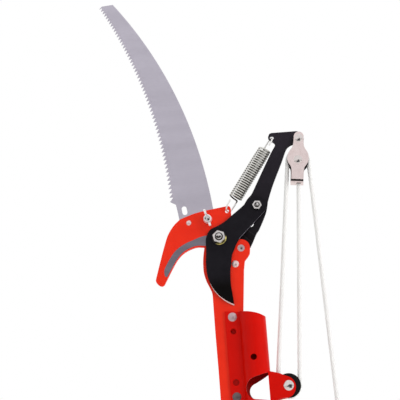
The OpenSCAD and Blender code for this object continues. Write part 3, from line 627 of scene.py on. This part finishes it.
def springCoil(mean, coilFrom, coilTo, tilt):
    # heading of the wire: 0 along the axis, then the helix angle, with a bend of fixed radius between
    heading = math.radians(spring["helixDeg"])
    # the bends take up some length and some turn, so the helix angle is closed in on
    for closing in range(spring["closings"]):
        bendLong = spring["bend"] * math.sin(heading)
        bendRound = spring["bend"] * (1 - math.cos(heading))
        axial = coilTo - coilFrom - 2 * spring["straight"] - 2 * bendLong
        winding = (2 * np.pi * spring["curls"] + 2 * tilt) * mean - 2 * bendRound
        heading = math.atan2(winding, axial)
    wound = math.hypot(axial, winding)
    bent = spring["bend"] * heading
    total = 2 * spring["straight"] + 2 * bent + wound
    along = np.linspace(0, total, int(total / spring["ringStep"]))
    knots = np.cumsum([0, spring["straight"], bent, wound, bent, spring["straight"]])
    angle = np.interp(along, knots, [0, 0, heading, heading, 0, 0])
    x = runningSum(np.cos(angle), along)
    theta = -tilt + runningSum(np.sin(angle), along) / mean
    # the last turns draw in a little, so that the closed lever clears them
    drawn = np.clip(1 - (x[-1] - x) / spring["taperLong"], 0, 1) * spring["endTaper"]
    radius = mean - drawn
    coil = np.stack([coilFrom + x, radius * np.cos(theta), radius * np.sin(theta)], axis=1)
    return coil, theta, radius[-1]


def finishSpring(piece, rings, wire, theta):
    # painted shade: dark where the wire faces the next turns, darker on one side of the coil; loops all round
    crest = np.ones((rings, spring["sides"]))
    outward = np.clip(np.cos(ringAngles(spring["sides"])), 0, 1) ** 0.8
    shadedSide = np.clip(-np.sin(theta), 0, 1) ** 2
    crest[wire] = outward * (1 - spring["oily"] * shadedSide)[:, None]
    markCrest(piece, crest)
    # the end loops take the lighter painted copy of the wire
    piece.data.materials.append(litLoopWire)
    ringFinish = np.ones(rings - 1, dtype=int)
    ringFinish[wire] = 0
    finishRows(piece, ringFinish, spring["sides"])


def makeSpring():
    # loop, coil and loop along x, then turned onto the line between the two holes
    low, high = np.array(layout["springLow"]), np.array(layout["springHigh"])
    length = np.linalg.norm(high - low)
    line = (high - low) / length
    mean = (spring["outside"] - spring["wire"]) / 2
    coilFrom, coilTo = spring["coilFrom"], length - spring["coilToEnd"]
    tilt = math.radians(spring["loopDeg"])
    coil, theta, endMean = springCoil(mean, coilFrom, coilTo, tilt)
    lowLoop = springLoop(coilFrom, mean, -tilt)
    highLoop = springLoop(spring["coilToEnd"], endMean, tilt)[::-1]
    highLoop[:, 0] = length - highLoop[:, 0]
    local = np.concatenate([lowLoop, coil, highLoop])
    # the side points away from the axis on the coil, and lies in the loop's plane on a loop
    radial = np.stack([np.zeros_like(theta), np.cos(theta), np.sin(theta)], axis=1)
    sides = [np.cross([[0, -math.sin(a), math.cos(a)]], np.gradient(loop, axis=0))
             for a, loop in ((-tilt, lowLoop), (tilt, highLoop))]
    side = np.concatenate([sides[0], radial, sides[1]])
    axes = np.array([[line[0], 0, line[1]], [0, 1, 0], [-line[1], 0, line[0]]])
    path = local @ axes + np.array([low[0], 0, low[1]])
    radius = np.full((len(path), spring["sides"]), spring["wire"] / 2)
    # the cut ends are a little rounded
    radius[[0, -1]] *= spring["cutEnd"]
    piece = meshPiece("springWire", sweepTube(path, side @ axes, radius), springWire)
    finishSpring(piece, len(path), slice(len(lowLoop), len(lowLoop) + len(coil)), theta)
    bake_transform(piece)
    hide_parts("return_spring", "spring_lower_hook", "spring_upper_hook")


makeSpring()
print("spring made")


# plates and cast pieces: the solid with rounded edges; edge radius in mm
plates = {
    "hook_plate": {"body": "frame", "slot": "red_paint", "edge": 0.5, "finish": hookEnamel},
    "ferrule": {"body": "frame", "slot": "dark_red_paint", "edge": 0.45, "finish": socketEnamel,
                "inside": boreShadeEnamel, "pooled": dimpleShadeEnamel, "dimple": (-23.2, 68.7, 3.7),
                "bore": 13.3, "pits": ((-22.0, 124.8, 3.3),)},
    "lever": {"body": "lever", "slot": "black_steel", "edge": 0.4, "finish": leverSteel,
              "rubbed": rubbedSteel},
    "cutting_blade": {"body": "blade", "slot": "black_steel", "edge": 0.15, "finish": bladeSteel,
                      "ground": edgeSteel, "worn": groundSteel, "wornEdge": 0.4, "wornBelow": 3.0,
                      "wornSpan": (14.0, 54.0)},
    "block_front_plate": {"body": "block", "slot": "nickel_plate", "edge": 0.3, "finish": nickelPlate},
    "block_rear_plate": {"body": "block", "slot": "nickel_plate", "edge": 0.3, "finish": nickelPlate,
                         "inside": blockShade, "innerFrom": 3.0, "lipBelow": 300.0},
    "wing_nut": {"body": "wing_nut", "slot": "zinc", "edge": 0.4, "finish": castZinc},
}


# leans of a face, as a share of its normal: square to a side, flat front, least lean of the bevel
facing = 0.7
flatFront = 0.97
leastBevel = 0.25


def pieceName(node):
    # node name in the way of this script, as tail_nut becomes tailNut
    words = node.split("_")
    return words[0] + "".join(word.title() for word in words[1:])


def inHole(middle, hole):
    # a round hole along y, given by x, z and radius
    return math.hypot(middle.x - hole[0], middle.z - hole[1]) < hole[2]


def insideFace(look, normal, middle):
    # faces that take the painted shade: the bore, all that lies near the tube's axis; pits, holes through the
    # flange
    if math.hypot(middle.x, middle.y) < look.get("bore", 0.0):
        return True
    if any(inHole(middle, hole) for hole in look.get("pits", ())):
        return True
    # rear plate of the block, which takes the painted shade: its face toward the sheave, and the top of its lip
    if "innerFrom" not in look:
        return False
    onLip = normal.z > facing and middle.z < look["lipBelow"]
    return onLip or (normal.y < -facing and middle.y > look["innerFrom"])


def wornEdges(shape, look):
    # front edge of the blade's tail, on the side where the lever passes below the line of its pins
    first, last = look["wornSpan"]
    start, end = np.array(layout["mainPivot"]), np.array(layout["tailPivot"])
    line = unit(end - start)
    found = []
    for edge in shape.edges:
        middle = (edge.verts[0].co + edge.verts[1].co) / (2 * mm)
        reach = np.array([middle.x, middle.z]) - start
        below = line[1] * reach[0] - line[0] * reach[1]
        front = [face for face in edge.link_faces if face.normal.y < -flatFront]
        if len(front) == 1 and below > look["wornBelow"] and first < reach @ line < last:
            found.append(edge)
    return found


def roundedCopy(node, look):
    # doubles merged, flat triangles dissolved, then a bevel on every edge over 30 degrees
    mesh = frame["nodes"][node].data.copy()
    mesh.materials.clear()
    finishes = [key for key in ("finish", "rubbed", "ground", "inside", "pooled", "worn") if key in look]
    for key in finishes:
        mesh.materials.append(look[key])
    shape = bmesh.new()
    shape.from_mesh(mesh)
    bmesh.ops.remove_doubles(shape, verts=shape.verts, dist=2e-6)
    bmesh.ops.dissolve_limit(shape, angle_limit=math.radians(0.5), verts=shape.verts,
                             edges=shape.edges)
    for face in shape.faces:
        face.material_index = 0
        middle = face.calc_center_median()
        # the ground bevel leans between the flat front and the upright edges
        if "ground" in look and leastBevel < -face.normal.y < flatFront:
            face.material_index = finishes.index("ground")
        if insideFace(look, face.normal, middle / mm):
            face.material_index = finishes.index("inside")
        # the dimple takes the painted shade
        if "dimple" in look and inHole(middle / mm, look["dimple"]):
            face.material_index = finishes.index("pooled")
    if "worn" in look:
        bmesh.ops.bevel(shape, geom=wornEdges(shape, look), offset=look["wornEdge"] * mm, segments=1,
                        affect="EDGES", material=finishes.index("worn"))
    shape.to_mesh(mesh)
    shape.free()
    mesh.shade_smooth()
    piece = bpy.data.objects.new(pieceName(node), mesh)
    scene.collection.objects.link(piece)
    bevel = roundEdges(piece, look["edge"], math.radians(30))
    bevel.use_clamp_overlap = True
    if "rubbed" in look:
        bevel.material = finishes.index("rubbed")
    # the large flat faces keep their own normals, so that only the edges look round
    flat = piece.modifiers.new("flatFaces", "WEIGHTED_NORMAL")
    flat.mode = "FACE_AREA"
    flat.weight = 100
    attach(piece, look["body"])
    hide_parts(node)


for nodeName, look in plates.items():
    roundedCopy(nodeName, look)
print("plates rounded")


# radius of the small face that closes a turned shape in the middle, in mm, and least turn, in
# degrees, of an edge that looks sharp
tip = 0.05
turnedSharp = 40


def turnedGrid(at, radius, depth, turnDeg):
    # surface of turning about y: (x + r cos a, y, z - r sin a), r and y for each row and column
    angle = math.radians(turnDeg) + ringAngles(radius.shape[1])
    return np.stack([at[0] + radius * np.cos(angle), depth, at[1] - radius * np.sin(angle)], axis=-1)


def turnedPiece(node, look, radius, depth, finish, joined=False):
    # stands for a solid of the frame, and moves as that one does
    grid = turnedGrid(layout[look["at"]], radius, depth, look["turn"])
    piece = meshPiece(pieceName(node), grid, finish, joined)
    piece.data.set_sharp_from_angle(angle=math.radians(look.get("sharpDeg", turnedSharp)))
    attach(piece, look["body"])
    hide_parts(node)
    return piece


def hexRadius(flats, columns):
    # distance to a flat side: half the width over the cosine from the side's middle
    angle = ringAngles(columns) % (np.pi / 3)
    return flats / 2 / np.cos(angle - np.pi / 6)


def stackRows(rows, columns):
    # pairs of radius and depth, each a number or one value for each column
    radius = np.stack([np.broadcast_to(r, columns) for r, y in rows]).astype(float)
    depth = np.stack([np.broadcast_to(y, columns) for r, y in rows]).astype(float)
    return radius, depth


def domeRows(rim, low, high, count):
    # part of a ball of radius (rim^2 + rise^2) / (2 rise)
    rise = high - low
    ball = (rim ** 2 + rise ** 2) / (2 * rise)
    return [(r, high - ball + math.sqrt(ball ** 2 - r ** 2)) for r in np.linspace(rim, tip, count)]


# hexagons: the flat face as a share of the flats, drop of the chamfers for each mm, and edges in mm
hexForm = {"face": 0.48, "chamfer": 0.58, "backChamfer": 0.3, "countersink": 0.6, "edge": 0.18}

# threads as shares of the pitch, and dents: depths in mm, widths as shares of the end's radius
boltForm = {"columns": 48, "endRings": 12, "lead": 0.6, "threadDepth": 0.58, "threadStep": 0.1,
            "dentDepth": 0.35, "dentWidth": 0.4, "dentLess": 0.1, "oilDepth": 0.2}

# bolts with a cut thread and a peened end; y and radii in mm, y falls toward the camera
bolts = {
    "pivot_bolt": {"at": "mainPivot", "body": "frame", "shank": 4.0, "end": -15.1, "pitch": 1.25,
                   "thread": 5.0, "headFrom": 2.0, "headTo": 7.3, "hex": 13.0, "turn": 12.0,
                   "dents": (150, 25, 85), "dentsAt": 0.52, "oilyThread": True},
    "tail_bolt": {"at": "tailPivot", "body": "blade", "shank": 2.5, "end": -11.85, "pitch": 0.9,
                  "thread": 4.0, "headFrom": 2.15, "headTo": 4.0, "round": 4.6, "turn": 0.0,
                  "rim": ((0.0, 0.5), (0.2, 0.13), (0.6, 0.0)),
                  "dents": (215, 95, 155), "dentsAt": 0.7, "oilyThread": True},
    "wing_bolt": {"at": "wingBolt", "body": "frame", "shank": 3.0, "end": -10.6, "pitch": 1.0,
                  "thread": 6.5, "headFrom": 3.4, "headTo": 6.4, "domed": 6.0, "rings": 14, "turn": 30.0,
                  "dents": (60, 168), "dentsAt": 1.0, "oilyThread": False},
}


def headRows(look, columns):
    # hexagon with a chamfer, flat round head with an eased rim, or dome
    low, high = look["headFrom"], look["headTo"]
    if "hex" in look:
        corner, crown = hexRadius(look["hex"], columns), look["hex"] * hexForm["face"]
        eased = high - (corner - crown) * hexForm["chamfer"]
        return [(corner, low), (corner, eased), (crown, high), (tip, high)]
    if "round" in look:
        rim = [(look["round"] - inset, high - drop) for inset, drop in look["rim"]]
        return [(look["round"], low)] + rim + [(tip, high)]
    return domeRows(look["domed"], low, high, look["rings"])


def makeBolt(node, look):
    form, columns = boltForm, boltForm["columns"]
    angle = ringAngles(columns)
    shank, end, pitch = look["shank"], look["end"], look["pitch"]
    lead = shank - form["lead"] * pitch
    flat = np.linspace(tip, lead, form["endRings"])[:, None] * np.ones(columns)
    # thread: shank less a triangle wave of the pitch, which winds once round and runs out
    along = np.arange(0, look["thread"], form["threadStep"])[:, None]
    wave = np.abs(2 * ((along / pitch + angle / (2 * np.pi)) % 1) - 1)
    fade = np.clip((look["thread"] - along) / pitch, 0, 1)
    cut = np.minimum(shank - form["threadDepth"] * pitch * wave * fade, lead + along)
    # dents of the peening punch, painted dark as shade: depth exp(-(distance / width)^2), each one narrower
    reach = np.concatenate([flat, cut])
    dent = np.zeros_like(reach)
    for order, a in enumerate(np.radians(np.array(look["dents"]) - look["turn"])):
        far = np.hypot(reach * np.cos(angle) - look["dentsAt"] * lead * math.cos(a),
                       reach * np.sin(angle) - look["dentsAt"] * lead * math.sin(a))
        width = (form["dentWidth"] - form["dentLess"] * order) * lead
        dent += form["dentDepth"] * np.exp(-(far / width) ** 2)
    radius, depth = stackRows([(shank, end + look["thread"]), (shank, look["headFrom"])]
                              + headRows(look, columns), columns)
    radius = np.concatenate([reach, radius])
    depth = np.concatenate([end + dent[:len(flat)], end + along * np.ones(columns), depth])
    piece = turnedPiece(node, look, radius, depth, peenedZinc)
    crest = np.ones_like(radius)
    crest[:len(reach)] = 1 - np.clip(dent / form["oilDepth"], 0, 1)
    markCrest(piece, crest)
    piece.data.materials.append(threadShade)
    rowFinish = np.zeros(len(radius) - 1, dtype=int)
    # the thread rows take the painted shade of the thread
    rowFinish[len(flat) - 1:len(reach)] = look["oilyThread"]
    finishRows(piece, rowFinish, columns)


# hexagon nuts with chamfered faces and a countersunk thread
nuts = {
    "pivot_nut": {"at": "mainPivot", "body": "frame", "flats": 13.0, "bore": 4.0, "front": -13.6,
                  "back": -7.1, "turn": 20.0, "sharpDeg": 25},
    "tail_nut": {"at": "tailPivot", "body": "blade", "flats": 9.4, "bore": 2.5, "front": -10.35,
                 "back": -5.35, "turn": 8.0, "sharpDeg": 25},
}


def makeNut(node, look):
    # rows from the countersink over the front face, the chamfered corners and the back to the bore
    columns = boltForm["columns"]
    corner, face = hexRadius(look["flats"], columns), look["flats"] * hexForm["face"]
    front, back, bore = look["front"], look["back"], look["bore"]
    sink = hexForm["countersink"]
    rows = [(bore, front + sink), (bore + sink, front), (face, front),
            (corner, front + (corner - face) * hexForm["chamfer"]),
            (corner, back - (corner - face) * hexForm["backChamfer"]), (face, back), (bore, back)]
    radius, depth = stackRows(rows, columns)
    piece = turnedPiece(node, look, radius, depth, zincPlate, joined=True)
    roundEdges(piece, hexForm["edge"], math.radians(look["sharpDeg"])).harden_normals = True


# washer under the main nut: dark with old grease and painted shade from the nut, yellow near its rim at the lower
# right
washer = {"at": "mainPivot", "body": "frame", "slot": "yellow_zinc", "turn": 0.0,
          "bore": 4.1, "outside": 8.4, "front": -7.1, "back": -5.5, "round": 0.6,
          "bare": (6.9, 7.2, 7.7), "bareDeg": (-14, 128), "softDeg": 14, "streak": 0.2,
          "streaks": 5, "streakDeg": 40, "columns": 64}


def makeWasher():
    columns = washer["columns"]
    rim, front, back = washer["outside"], washer["front"], washer["back"]
    # quarter circles at both edges of the rim
    curve = np.radians(np.linspace(90, 0, 5))
    inset = washer["round"] * (1 - np.cos(curve))
    drop = washer["round"] * (1 - np.sin(curve))
    rows = [(washer["bore"], back), (washer["bore"], front)]
    rows += [(r, front) for r in washer["bare"]]
    rows += [(rim - i, front + d) for i, d in zip(inset, drop)]
    rows += [(rim - i, back - d) for i, d in zip(inset[::-1], drop[::-1])]
    radius, depth = stackRows(rows, columns)
    piece = turnedPiece("pivot_washer", washer, radius, depth, yellowZinc, joined=True)
    # yellow on the outer front, with soft ends, and painted shade elsewhere; turns count from the right, down the
    # front
    turns = (np.arange(columns) * 360 / columns + 180) % 360 - 180
    first, last = washer["bareDeg"]
    unshadedArc = np.clip(np.minimum(turns - first, last - turns) / washer["softDeg"], 0, 1)
    wave = np.sin(np.radians(washer["streaks"] * turns + washer["streakDeg"]))
    unshadedArc = unshadedArc * (1 - washer["streak"] + washer["streak"] * wave)
    # yellow from the second radius to the first rings of the rim
    bare = np.zeros(len(rows))
    bare[3:7] = 1.0
    markCrest(piece, bare[:, None] * unshadedArc)


# hinge rivet of the lever: set flush in front with a dished end, domed behind
hingeRivet = {"at": "leverPivot", "body": "frame", "turn": 0.0, "front": -1.9, "sunk": 4.2,
              "cone": -0.4, "shank": 3.0, "neck": 6.3, "dome": 6.0, "back": 8.9, "dish": 2.7,
              "dishDepth": 0.55, "dishAt": (0.5, -0.5), "edge": 0.25, "columns": 56,
              "endRings": 16, "domeRings": 12, "oilGain": 1.6, "oilFrom": 0.5}


def makeHingeRivet():
    look, columns = hingeRivet, hingeRivet["columns"]
    angle = ringAngles(columns)
    # front: a dish of the given depth, a little off the middle: depth (1 - (far / dish)^2)^2
    flat = np.linspace(tip, look["sunk"] - look["edge"], look["endRings"])[:, None] * np.ones(columns)
    far = np.hypot(flat * np.cos(angle) - look["dishAt"][0], -flat * np.sin(angle) - look["dishAt"][1])
    sunk = look["dishDepth"] * np.clip(1 - (far / look["dish"]) ** 2, 0, 1) ** 2
    rows = [(look["sunk"], look["front"] + look["edge"]), (look["shank"], look["cone"]),
            (look["shank"], look["neck"])]
    rows += domeRows(look["dome"], look["neck"], look["back"], look["domeRings"])
    radius, depth = stackRows(rows, columns)
    radius = np.concatenate([flat, radius])
    depth = np.concatenate([look["front"] + sunk, depth])
    piece = turnedPiece("lever_rivet", look, radius, depth, dishedRivet)
    crest = np.ones_like(radius)
    # painted shade fills the middle of the dish
    crest[:len(flat)] = 1 - np.clip(sunk / look["dishDepth"] * look["oilGain"] - look["oilFrom"], 0, 1)
    markCrest(piece, crest)


makeWasher()
makeHingeRivet()
for nodeName, look in bolts.items():
    makeBolt(nodeName, look)
for nodeName, look in nuts.items():
    makeNut(nodeName, look)
print("bolts and nuts made")

# the rest of the solids keep their shape and take a finish
carried = {
    "counter_blade": groundSteel,
    "saw_blade": sawSteel,
    "lower_sheave": blackNylon,
    "upper_sheave": blackNylon,
    "saw_rivet": brightRivet,
    "stop_rivet": brightRivet,
    "ferrule_rivets": rivetSteel,
    "upper_axle": headNickel,
    "block_pin": headNickel,
    "lower_axle": headNickel,
}
for nodeName, part in frame["nodes"].items():
    part.data.materials.clear()
    part.data.materials.append(carried.get(nodeName, zincPlate))
print("finishes given")


# studio: white surround, soft key from the right, weak fill; distances in m
studio = {
    "ambient": 0.66,
    "floorHeight": -0.245,
    "floorHalf": 60.0,
    "floorColour": "#f3f2f0",
    "floorSeen": "#959493",
    "floorGlow": 0.58,
    "floorRough": 0.9,
    "lamps": [
        {"name": "keyLamp", "place": (1.75, -1.15, 0.95), "size": 1.3, "power": 20.0},
        {"name": "topLamp", "place": (-0.1, -0.1, 1.7), "size": 0.9, "power": 6.0},
        {"name": "rearLamp", "place": (-0.4, 1.6, 0.8), "size": 1.2, "power": 14.0},
    ],
    "mat": {"x": (-0.6, -0.2, 0.12, 0.65), "tops": (-0.1, 0.0, 0.45, 0.62), "y": (-0.75, -1.5),
            "colour": "#34363c", "rough": 0.95},
    "flag": {"at": (0.079, -0.085, 0.038), "half": (0.036, 0.05), "turn": 31.6},
    "matLift": 0.002,
    "lampTarget": (0.0, 0.0, 0.24),
}


def makeSurround():
    # white to the camera and in reflections, and dimmer where it lights the part
    world = bpy.data.worlds.new("whiteSurround")
    scene.world = world
    world.use_nodes = True
    tree = world.node_tree
    tree.nodes.clear()
    path = addNode(tree, "ShaderNodeLightPath")
    some = addNode(tree, "ShaderNodeMath", {
        0: path.outputs["Is Camera Ray"], 1: path.outputs["Is Glossy Ray"]}, operation="ADD")
    seen = addNode(tree, "ShaderNodeMath", {
        0: some.outputs[0], 1: path.outputs["Is Transmission Ray"]}, operation="ADD", use_clamp=True)
    dim = addNode(tree, "ShaderNodeBackground", {"Color": (1, 1, 1, 1), "Strength": studio["ambient"]})
    white = addNode(tree, "ShaderNodeBackground", {"Color": (1, 1, 1, 1), "Strength": 1.0})
    both = addNode(tree, "ShaderNodeMixShader", {
        0: seen.outputs[0], 1: dim.outputs[0], 2: white.outputs[0]})
    addNode(tree, "ShaderNodeOutputWorld", {"Surface": both.outputs[0]})


# signs of the four corners of a square, in order round it
square = ((-1, -1), (1, -1), (1, 1), (-1, 1))


def stagePiece(name, corners, faces, finish, roughness):
    # a flat piece of the studio, which isn't part of the object
    material = bpy.data.materials.new(finish)
    material.use_nodes = True
    material.node_tree.nodes["Principled BSDF"].inputs["Roughness"].default_value = roughness
    mesh = bpy.data.meshes.new(name)
    mesh.from_pydata(corners, [], faces)
    mesh.materials.append(material)
    piece = bpy.data.objects.new(name, mesh)
    scene.collection.objects.link(piece)
    return piece, material.node_tree


def makeFloor():
    half, height = studio["floorHalf"], studio["floorHeight"]
    corners = [(a * half, b * half, height) for a, b in square]
    tree = stagePiece("paleFloor", corners, [(0, 1, 2, 3)], "paleFloor", studio["floorRough"])[1]
    shader = tree.nodes["Principled BSDF"]
    path = addNode(tree, "ShaderNodeLightPath")
    # the camera sees a darker floor that glows, so its shadows stay below white
    seen = addNode(tree, "ShaderNodeMix", {
        0: path.outputs["Is Camera Ray"], 6: studio["floorColour"], 7: studio["floorSeen"]},
        data_type="RGBA")
    glow = addNode(tree, "ShaderNodeMath", {
        0: path.outputs["Is Camera Ray"], 1: studio["floorGlow"]}, operation="MULTIPLY")
    shader.inputs["Emission Color"].default_value = (1, 1, 1, 1)
    tree.links.new(seen.outputs[2], shader.inputs["Base Color"])
    tree.links.new(glow.outputs[0], shader.inputs["Emission Strength"])


def makeDarkMat():
    # mat and board in front of the part, which only the polished heads and the wire reflect
    look, flag = studio["mat"], studio["flag"]
    count = len(look["x"])
    level = studio["floorHeight"] + studio["matLift"]
    corners = [(x, y, level) for y in look["y"] for x in look["x"]]
    corners += [(x, look["y"][1], top) for x, top in zip(look["x"], look["tops"])]
    squares = [(i, i + 1, i + 1 + count, i + count) for i in range(2 * count) if i % count < count - 1]
    # a small dark flag beside the lower axle, for its head alone
    turn = math.radians(flag["turn"])
    corners += [(flag["at"][0] + a * flag["half"][0] * math.cos(turn),
                 flag["at"][1] + a * flag["half"][0] * math.sin(turn),
                 flag["at"][2] + b * flag["half"][1]) for a, b in square]
    squares.append(tuple(range(3 * count, 3 * count + 4)))
    mat, tree = stagePiece("darkMat", corners, squares, "darkFelt", look["rough"])
    tree.nodes["Principled BSDF"].inputs["Base Color"].default_value = hexLinear(look["colour"])
    mat.visible_camera = False
    mat.visible_diffuse = False
    mat.visible_shadow = False


def makeLamps():
    target = Vector(studio["lampTarget"])
    for lamp in studio["lamps"]:
        data = bpy.data.lights.new(lamp["name"], "AREA")
        data.energy = lamp["power"]
        data.shape = "DISK"
        data.size = lamp["size"]
        light = bpy.data.objects.new(lamp["name"], data)
        # soft boxes are far larger than these lamps, so no lamp shows as a spot in the metals
        light.visible_glossy = False
        aim = target - Vector(lamp["place"])
        turn = aim.to_track_quat("-Z", "Y").to_matrix().to_4x4()
        light.matrix_world = Matrix.Translation(lamp["place"]) @ turn
        scene.collection.objects.link(light)


makeSurround()
makeFloor()
makeDarkMat()
makeLamps()
print("studio lit")

bpy.context.view_layer.update()
